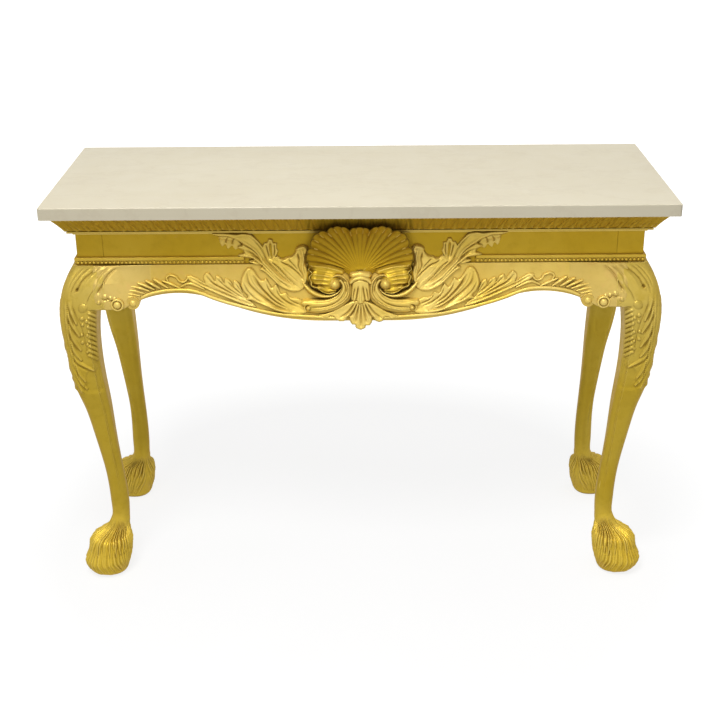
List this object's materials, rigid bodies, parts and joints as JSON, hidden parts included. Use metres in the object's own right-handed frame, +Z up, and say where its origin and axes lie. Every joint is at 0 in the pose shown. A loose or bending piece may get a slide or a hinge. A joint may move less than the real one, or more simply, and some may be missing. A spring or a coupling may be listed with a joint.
{
  "type": "pier table",
  "caption": "Gilded carved pier table with a stone slab top, shell and scroll apron, cabriole legs and hairy paw feet.",
  "frame": {"origin": "on the floor under the middle of the stone top", "axes": "+X along the table to the right of someone facing its carved front, +Y from the front to the back, +Z up"},
  "size_m": [1.27, 0.4888, 0.874],
  "materials": {
    "stone": "honed",
    "gilt_frame": "gilded",
    "gilt_legs": "gilded",
    "gilt_carving": "gilded",
    "bare_wood": "bare",
    "screw_steel": "bare"
  },
  "bodies": {
    "root": {"apron_back": "gilt_legs", "apron_front": "gilt_legs", "apron_leaf_left": "gilt_carving", "apron_leaf_right": "gilt_carving", "apron_left": "gilt_legs", "apron_right": "gilt_legs", "batten_left": "bare_wood", "batten_right": "bare_wood", "bead_back": "gilt_frame", "bead_front_left": "gilt_frame", "bead_front_right": "gilt_frame", "bead_left": "gilt_frame", "bead_right": "gilt_frame", "block_screws": "screw_steel", "c_scroll_left": "gilt_carving", "c_scroll_right": "gilt_carving", "corner_block_back_left": "bare_wood", "corner_block_back_right": "bare_wood", "corner_block_front_left": "bare_wood", "corner_block_front_right": "bare_wood", "cornice_back": "gilt_frame", "cornice_front": "gilt_frame", "cornice_left": "gilt_frame", "cornice_right": "gilt_frame", "ear_back_left_long": "gilt_legs", "ear_back_left_short": "gilt_legs", "ear_back_right_long": "gilt_legs", "ear_back_right_short": "gilt_legs", "ear_front_left_long": "gilt_legs", "ear_front_left_short": "gilt_legs", "ear_front_right_long": "gilt_legs", "ear_front_right_short": "gilt_legs", "edge_band_left": "gilt_carving", "edge_band_right": "gilt_carving", "frieze_rail_back": "gilt_frame", "frieze_rail_front": "gilt_frame", "frieze_rail_left": "gilt_frame", "frieze_rail_right": "gilt_frame", "gadroon_left": "gilt_carving", "gadroon_right": "gilt_carving", "horn_left": "gilt_carving", "horn_right": "gilt_carving", "leg_back_left": "gilt_legs", "leg_back_right": "gilt_legs", "leg_front_left": "gilt_legs", "leg_front_right": "gilt_legs", "palmette": "gilt_carving", "pendant": "gilt_carving", "shell": "gilt_carving", "side_leaf_left": "gilt_carving", "side_leaf_right": "gilt_carving", "spray_left": "gilt_carving", "spray_right": "gilt_carving", "stem_leaf_left": "gilt_carving", "stem_leaf_right": "gilt_carving", "stone_top": "stone", "tuft_left": "gilt_carving", "tuft_right": "gilt_carving"}
  },
  "joints": []
}
